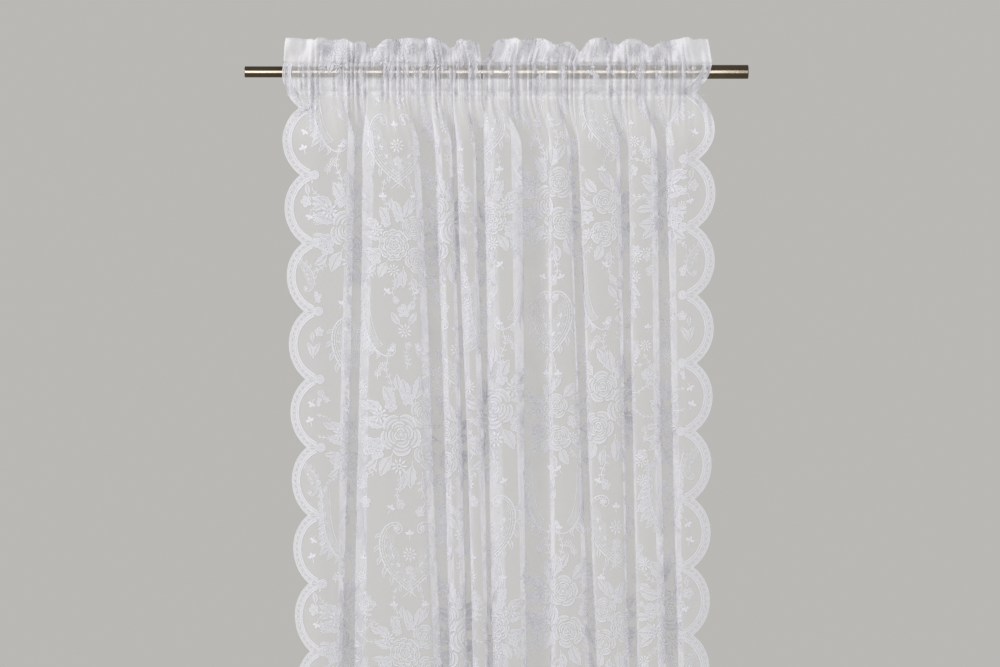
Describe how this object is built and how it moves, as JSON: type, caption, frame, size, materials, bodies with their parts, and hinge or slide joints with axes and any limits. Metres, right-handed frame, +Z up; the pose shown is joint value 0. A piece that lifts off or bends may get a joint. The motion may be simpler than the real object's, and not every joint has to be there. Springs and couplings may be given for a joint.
{
  "type": "rod pocket curtain pair with rod",
  "caption": "Sheer floral lace rod pocket curtains with scalloped side edges and a gathered frill, hung as a pair on a plain telescopic curtain rod",
  "frame": {"origin": "middle of the rod's axis, half way between its two end faces", "axes": "+X along the rod to the thicker tube's end, on the right seen from the front; +Y to the back, towards the wall; +Z up"},
  "size_m": [0.906, 0.0592, 2.4],
  "materials": {
    "rod_finish": "dark antique brass, polished",
    "lace": "white knitted lace on a sheer net ground"
  },
  "bodies": {
    "root": {"rod_outer_tube": "rod_finish", "rod_inner_tube": "rod_finish", "panel_left": "lace", "panel_right": "lace"}
  },
  "joints": []
}
